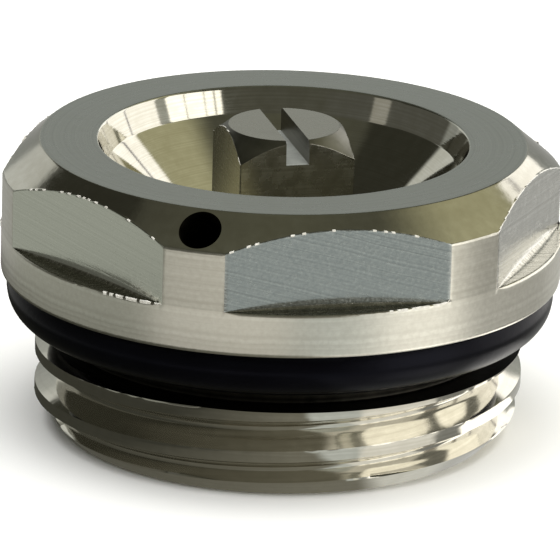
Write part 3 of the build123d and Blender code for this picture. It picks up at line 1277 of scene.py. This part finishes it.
# Radiance of the plain room at each elevation in degrees, from straight down to straight up.
ROOM_TONES = (
    (-90.0, (0.36, 0.36, 0.34)),
    (-25.0, (0.56, 0.56, 0.53)),
    (-8.0, (0.36, 0.36, 0.34)),
    (2.0, (0.30, 0.31, 0.29)),
    (20.0, (0.47, 0.485, 0.455)),
    (30.0, (0.10, 0.10, 0.08)),
    (55.0, (0.085, 0.085, 0.065)),
    (90.0, (0.135, 0.135, 0.095)),
)
WINDOW = (2.10, 2.05, 1.92)
ROOM_PANELS = (
    # pale table in front, with dark walls above it
    Panel(180.0, -34.0, (62.0, 24.0), 8.0, (0.92, 0.90, 0.835)),
    Panel(156.0, -20.0, (14.0, 8.0), 9.0, (0.60, 0.63, 0.605)),
    Panel(-168.0, 4.0, (34.0, 11.0), 6.0, (0.16, 0.15, 0.12)),
    Panel(165.0, 10.0, (12.0, 16.0), 6.0, (0.14, 0.13, 0.10)),
    # dark left side, its small light patch, its table and the grey light behind
    Panel(-104.0, 9.0, (46.0, 19.0), 5.0, (0.11, 0.11, 0.095)),
    Panel(-113.0, 23.0, (5.0, 5.0), 2.0, (0.40, 0.39, 0.35)),
    Panel(-84.0, -30.0, (40.0, 18.0), 7.0, (0.40, 0.41, 0.37)),
    Panel(-60.0, 40.0, (34.0, 14.0), 4.0, (0.04, 0.04, 0.03)),
    Panel(-34.0, 14.0, (8.0, 9.0), 4.0, (0.70, 0.71, 0.67)),
    # olive ceiling over the window and the table at the right
    Panel(66.0, 41.0, (16.0, 6.0), 22.0, (0.53, 0.51, 0.325)),
    Panel(118.0, -24.0, (18.0, 9.0), 6.0, (0.95, 0.93, 0.86)),
    Panel(70.0, -26.0, (26.0, 11.0), 7.0, (0.27, 0.27, 0.25)),
    Panel(60.0, -64.0, (60.0, 20.0), 8.0, (0.72, 0.72, 0.67)),
    # the window's light on the table, with one dark gap and a bar in it
    Panel(134.0, -48.0, (8.0, 9.0), 1.5, (0.30, 0.30, 0.26)),
    Panel(137.0, -49.0, (2.6, 8.0), 1.0, (0.90, 0.88, 0.78)),
    Panel(107.5, -41.0, (18.5, 10.0), 2.0, (1.95, 1.90, 1.76)),
    # near window and its glazing bars
    Panel(145.0, 6.0, (2.6, 16.0), 0.8, (0.85, 0.85, 0.75)),
    Panel(117.0, 10.0, (19.0, 20.0), 1.5, WINDOW),
    Panel(132.0, 10.0, (0.4, 20.0), 0.5, (0.60, 0.58, 0.52)),
    Panel(125.0, 10.0, (0.3, 20.0), 0.5, (0.85, 0.83, 0.75)),
    Panel(111.0, 10.0, (0.3, 20.0), 0.5, (0.90, 0.87, 0.79)),
    Panel(93.0, 4.0, (5.0, 14.0), 1.0, (0.48, 0.45, 0.41)),
    # far window and its glazing bars
    Panel(56.0, 9.0, (32.0, 20.0), 2.0, (1.72, 1.68, 1.60)),
    Panel(76.0, -2.0, (1.2, 12.0), 1.0, (0.55, 0.52, 0.48)),
    Panel(40.0, 11.0, (0.5, 18.0), 0.6, (0.50, 0.48, 0.50)),
    Panel(62.0, 11.0, (0.5, 18.0), 0.6, (0.60, 0.58, 0.60)),
)


@dataclass
class Studio:
    """Pale floor, soft light and the camera, with lengths in metres and angles in degrees."""

    distance: float = 0.2975
    lens: float = 446.0
    sensor: float = 36.0
    nearest: float = 0.01
    roll: float = 1.5
    stand_height: float = 0.00769
    aim_height: float = 0.00635
    floor_size: float = 1.6
    floor_tone: str = "#f4f4f2"
    floor_roughness: float = 0.9
    light_power: float = 17.0
    light_size: float = 1.2
    light_rise: float = 80.0
    light_distance: float = 0.9
    shade_half: float = 0.05
    shade_aside: tuple[float, float] = (0.0035, 0.0049)
    shade_reach: tuple[float, float] = (0.027, 0.031)
    shade_turn: tuple[float, float] = (-0.012, 0.002)
    shade_tones: tuple[str, str] = ("#41413a", "#7d7b70")
    shade_height: float = -0.0002
    # Middle and reach of the bright patch of painted window light on the shade card.
    painted_window_light_place: tuple[float, float] = (0.0149, -0.0016)
    painted_window_light_reach: tuple[float, float] = (0.0042, 0.0053)

    def camera(self) -> None:
        """Place the camera at the photograph's viewing angle."""
        data = bpy.data.cameras.new("camera")
        data.lens = self.lens
        data.sensor_width = self.sensor
        data.clip_start = self.nearest
        obj = show("camera", data)
        away = toward(math.radians(PHOTO_AZIMUTH), math.radians(PHOTO_ELEVATION))
        obj.location = Vector((0, 0, self.stand_height)) + away * self.distance
        look = Vector((0, 0, self.aim_height)) - obj.location
        roll = Matrix.Rotation(math.radians(self.roll), 3, "Z").to_quaternion()
        obj.rotation_euler = (look.to_track_quat("-Z", "Y") @ roll).to_euler()
        bpy.context.scene.camera = obj

    def sheet(self, name: str, half: float, material: bpy.types.Material) -> bpy.types.Mesh:
        """Make a flat square sheet.

        Args:
            name: the mesh's name.
            half: half of its side.
            material: its finish.

        Returns:
            The mesh, level with the end face.
        """
        work = bmesh.new()
        bmesh.ops.create_grid(work, x_segments=1, y_segments=1, size=half)
        mesh = take_mesh(work, name)
        mesh.materials.append(material)
        return mesh

    def floor(self) -> None:
        """Lay the pale floor; polished metal sees the room below it instead."""
        # Matt paper: an even pale ground that takes a soft shadow and shows no gloss.
        material = blank_material("matt_white_paper")
        tree = material.node_tree
        surface = {"Base Color": linear(self.floor_tone), "Roughness": self.floor_roughness}
        shader = add_node(tree, "ShaderNodeBsdfPrincipled", surface)
        add_node(tree, "ShaderNodeOutputMaterial", {"Surface": shader.outputs[0]})
        obj = show("floor", self.sheet("floor", self.floor_size / 2, material))
        obj.visible_glossy = False

    def overhead(self) -> None:
        """Hang the one soft light, which the metal doesn't mirror."""
        data = bpy.data.lights.new("overhead", "AREA")
        data.shape = "RECTANGLE"
        data.size = data.size_y = self.light_size
        data.energy = self.light_power
        obj = show("overhead", data)
        away = toward(math.radians(PHOTO_AZIMUTH), math.radians(self.light_rise))
        obj.location = away * self.light_distance
        obj.rotation_euler = (-away).to_track_quat("-Z", "Y").to_euler()
        obj.visible_glossy = False

    def room(self) -> None:
        """Paint the room that the metal mirrors: dark ceiling, grey walls, two windows and a pale table."""
        world = bpy.data.worlds.new("room")
        bpy.context.scene.world = world
        world.use_nodes = True
        tree = world.node_tree
        tree.nodes.clear()
        way = add_node(tree, "ShaderNodeTexCoord").outputs["Generated"]
        turned = {"Vector": way, "Rotation": (0.0, 0.0, -math.radians(PHOTO_AZIMUTH))}
        axes = add_node(tree, "ShaderNodeMapping", turned).outputs[0]
        axes = add_node(tree, "ShaderNodeSeparateXYZ", {0: axes}).outputs
        side = add_node(tree, "ShaderNodeMath", {0: axes["X"], 1: axes["Y"]}, operation="ARCTAN2").outputs[0]
        rise = add_node(tree, "ShaderNodeMath", {0: axes["Z"]}, operation="ARCSINE").outputs[0]
        span = {"Value": rise, "From Min": -math.pi / 2, "From Max": math.pi / 2}
        up = add_node(tree, "ShaderNodeMapRange", span).outputs["Result"]
        ramp = add_node(tree, "ShaderNodeValToRGB", {"Fac": up})
        stops = ramp.color_ramp.elements
        while len(stops) < len(ROOM_TONES):
            stops.new(0.5)
        for stop, (degrees, tone) in zip(stops, ROOM_TONES):
            stop.position = 0.5 + degrees / 180
            stop.color = (*tone, 1.0)
        colour = ramp.outputs["Color"]
        for panel in ROOM_PANELS:
            colour = panel.paint(tree, side, rise, colour)
        back = add_node(tree, "ShaderNodeBackground", {"Color": colour, "Strength": 1.0})
        add_node(tree, "ShaderNodeOutputWorld", {"Surface": back.outputs[0]})

    def shade_card(self) -> None:
        """Lay a glowing sheet that the thread mirrors: painted shadow at the left and in front, painted
        window light at the right.
        """
        # Painted shadow and painted light: a glowing sheet seen only in the metal stands for the shaded table
        # top and the window's light on it; it gives the thread its dark half and one bright patch.
        material = blank_material("painted_table_shade_and_window_light")
        tree = material.node_tree
        place = add_node(tree, "ShaderNodeTexCoord").outputs["Object"]
        turn = math.radians(PHOTO_AZIMUTH)
        across = {0: place, 1: (math.cos(turn), math.sin(turn), 0.0)}
        aside = add_node(tree, "ShaderNodeVectorMath", across, operation="DOT_PRODUCT").outputs["Value"]
        away = add_node(tree, "ShaderNodeVectorMath", {0: place}, operation="LENGTH").outputs["Value"]
        middle = Matrix.Rotation(turn, 3, "Z") @ Vector((*self.painted_window_light_place, self.shade_height))
        apart = {0: place, 1: middle}
        near = add_node(tree, "ShaderNodeVectorMath", apart, operation="DISTANCE").outputs["Value"]
        covers = []
        fades = ((aside, self.shade_aside), (away, self.shade_reach), (near, self.painted_window_light_reach))
        for value, (full, none) in fades:
            span = {"Value": value, "From Min": full, "From Max": none, "To Min": 1.0, "To Max": 0.0}
            cover = add_node(tree, "ShaderNodeMapRange", span, interpolation_type="SMOOTHSTEP")
            covers.append(cover.outputs["Result"])
        left, around, lit = covers
        shade = add_node(tree, "ShaderNodeMath", {0: left, 1: around}, operation="MULTIPLY").outputs[0]
        span = {"Value": aside, "From Min": self.shade_turn[0], "From Max": self.shade_turn[1]}
        front = add_node(tree, "ShaderNodeMapRange", span).outputs["Result"]
        dark, pale = (linear(tone) for tone in self.shade_tones)
        tone = add_node(tree, "ShaderNodeMix", {0: front, 6: dark, 7: pale}, data_type="RGBA").outputs[2]
        tones = {0: lit, 6: tone, 7: (*WINDOW, 1.0)}
        tone = add_node(tree, "ShaderNodeMix", tones, data_type="RGBA").outputs[2]
        cover = add_node(tree, "ShaderNodeMath", {0: shade, 1: lit}, operation="MAXIMUM").outputs[0]
        glow = add_node(tree, "ShaderNodeEmission", {"Color": tone, "Strength": 1.0}).outputs[0]
        clear = add_node(tree, "ShaderNodeBsdfTransparent").outputs[0]
        mix = add_node(tree, "ShaderNodeMixShader", {0: cover, 1: clear, 2: glow}).outputs[0]
        add_node(tree, "ShaderNodeOutputMaterial", {"Surface": mix})
        mesh = self.sheet("shade_card", self.shade_half, material)
        mesh.transform(Matrix.Translation((0, 0, self.shade_height)))
        obj = show("shade_card", mesh)
        obj.visible_camera = obj.visible_diffuse = obj.visible_shadow = obj.visible_transmission = False

    def build(self) -> None:
        """Set up camera, floor, room and lights."""
        self.camera()
        self.floor()
        self.room()
        self.shade_card()
        self.overhead()
        bpy.context.scene.view_settings.view_transform = "Standard"


PLUG_FINISHES = {
    # Fine-turned face: an even satin grey with only a hint of rings.
    Part.TOP_RING: NickelFinish(
        "nickel_satin_turned_face", "#cccfc9", "#b9bcb7", 0.26, 0.32, line_mm=0.10, line_depth_mm=0.0015
    ),
    # Turned chamfer: a near mirror that runs from dark at the left to olive and white at the right.
    Part.CHAMFER: NickelFinish(
        "nickel_turned_chamfer", "#cccac0", "#bbb8ac", 0.08, 0.13, line_mm=0.14, line_depth_mm=0.002
    ),
    # Matt collar: a soft warm silver that spreads the room's light into one broad sheen.
    Part.COLLAR: NickelFinish(
        "nickel_matt_collar",
        "#ebe9df",
        "#d9d6cb",
        0.29,
        0.31,
        line_mm=0.2,
        line_depth_mm=0.004,
        grain_mm=0.2,
        grain_depth_mm=0.0012,
    ),
    # Milled ledge: coarse cutter marks that glint or go dark with the side they face.
    Part.LEDGE: NickelFinish(
        "nickel_milled_ledge",
        "#e4e2d8",
        "#aba99e",
        0.20,
        0.32,
        Lay.MILLED,
        (0.5, -0.87, 0.0),
        line_mm=0.16,
        line_depth_mm=0.010,
        grain_mm=0.25,
        grain_depth_mm=0.005,
    ),
    # Bright dish: the clearest mirror, with the window's panes standing in it.
    Part.DISH: NickelFinish(
        "nickel_bright_dish",
        "#d0cec4",
        "#c0bdb0",
        0.05,
        0.08,
        line_mm=0.12,
        line_depth_mm=0.0008,
        grain_depth_mm=0.0004,
    ),
    # Cut thread: bright flanks that mirror window and table in long streaks.
    Part.THREAD: NickelFinish(
        "nickel_cut_thread",
        "#dbd8ce",
        "#cecbc0",
        0.06,
        0.10,
        line_mm=0.16,
        line_depth_mm=0.0003,
        grain_depth_mm=0.0003,
    ),
    # Bore: thin plating over brass, dull and brownish.
    Part.BORE: NickelFinish("nickel_thin_bore", "#8f8a76", "#5f5a49", 0.3, 0.4),
    # Front flat: fine slanting mill marks, with a cool grey tone painted darker than the side flats as
    # painted shade.
    Part.FLAT_FRONT: NickelFinish(
        "nickel_milled_flat",
        "#b9bebc",
        "#9da2a1",
        0.18,
        0.28,
        Lay.MILLED,
        (0.24, 0.14, 0.96),
        line_mm=0.09,
        line_depth_mm=0.004,
        grain_mm=0.14,
        grain_depth_mm=0.007,
        wander=1.6,
    ),
    # Left flat: fine mill marks, with a tone painted paler as painted light on this side.
    Part.FLAT_LEFT: NickelFinish(
        "nickel_milled_flat_slanting",
        "#e6e8de",
        "#d6d8ce",
        0.20,
        0.28,
        Lay.MILLED,
        (0.33, 0.36, 0.87),
        line_mm=0.08,
        line_depth_mm=0.0022,
        grain_mm=0.2,
        grain_depth_mm=0.004,
    ),
    # Right flat: coarser mill marks that catch the window, with a tone painted pale as painted light on the
    # window side.
    Part.FLAT_RIGHT: NickelFinish(
        "nickel_milled_flat_coarse",
        "#e2e2dd",
        "#cbcac5",
        0.18,
        0.28,
        Lay.MILLED,
        (0.2, 0.1, 0.97),
        line_mm=0.14,
        line_depth_mm=0.006,
    ),
    # Corner strips between the flats: the collar's matt silver, a little darker.
    Part.CORNER: NickelFinish(
        "nickel_matt_corner",
        "#d9d7cd",
        "#c6c3b8",
        0.29,
        0.31,
        line_mm=0.16,
        line_depth_mm=0.004,
        grain_mm=0.2,
        grain_depth_mm=0.002,
    ),
    # Torn burr: crumbled metal that scatters light, so it shows as pale specks.
    Part.TORN: NickelFinish("nickel_torn_burr", "#f4f2eb", "#d2cfc4", 0.35, 0.5, grain_mm=0.2, metal=0.38),
    # Groove behind the seal: nearly black, painted shade for the shadowed gap under the seal.
    Part.GROOVE: NickelFinish("nickel_groove_painted_shade", "#3b3933", "#23221f", 0.35, 0.5),
}
SCREW_FINISHES = {
    # Milled square: a soft grey with level tool marks.
    ScrewPart.HEAD: NickelFinish(
        "nickel_milled_square", "#d6d4ca", "#b4b1a6", 0.22, 0.32, Lay.MILLED, (0.0, 0.0, 1.0), line_mm=0.1
    ),
    # Screw thread and stem: clean turned metal, mostly hidden in the bore.
    ScrewPart.SHANK: NickelFinish("nickel_screw_thread", "#c9c6b8", "#a9a697", 0.18, 0.26),
    # Chamfer on the square's corners: duller than the top, with its darker tone painted shade.
    ScrewPart.CHAMFER: NickelFinish(
        "nickel_turned_screw_chamfer_painted_shade", "#8b8a82", "#77766e", 0.34, 0.46, line_mm=0.1
    ),
    # Sawn slot walls: dull grey-brown, painted darker than the slot floor as painted shade inside the slot.
    ScrewPart.SAWN: NickelFinish(
        "nickel_sawn_slot_painted_shade", "#8a877d", "#69665d", 0.30, 0.42, Lay.MILLED, (0.0, 0.0, 1.0), line_mm=0.12
    ),
    # Slot floor: frosted by the saw, so it stays pale from every side.
    ScrewPart.SLOT_FLOOR: NickelFinish("nickel_dull_slot_floor", "#a9aca6", "#8e918b", 0.35, 0.45, metal=0.3),
}


def main() -> None:
    """Build the pieces in order, light them and note the sizes."""
    logging.basicConfig(level=logging.INFO)
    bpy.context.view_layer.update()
    plug_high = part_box("plug_body")[1]
    screw_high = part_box("bleed_screw")[1]
    plug_materials = {part: finish.build() for part, finish in PLUG_FINISHES.items()}
    screw_materials = {part: finish.build() for part, finish in SCREW_FINISHES.items()}
    screw_materials[ScrewPart.TORN] = plug_materials[Part.TORN]
    rubber = RubberFinish("moulded_black_nitrile").build()
    pieces = [PlugBody(collar_radius=plug_high.x / MM, top=plug_high.z / MM).build(plug_materials)]
    for name, node, carrier in (
        ("collar_ring", "collar_seal", "plug"),
        ("tip_ring", "tip_seal", "seal_carrier"),
    ):
        ring_low, ring_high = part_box(node)
        section = (ring_high.z - ring_low.z) / 2 / MM
        height = (ring_high.z + ring_low.z) / 2 / MM
        ring = RubberRing(name, node, carrier, ring_high.x / MM - section, section, height)
        pieces.append(ring.build(rubber))
    pieces.append(BleedScrew(top=screw_high.z / MM).build(screw_materials))
    for piece in pieces:
        LOG.info("%s: %d faces", piece.name, len(piece.data.polygons))
    Studio().build()


if __name__ == "__main__":
    main()
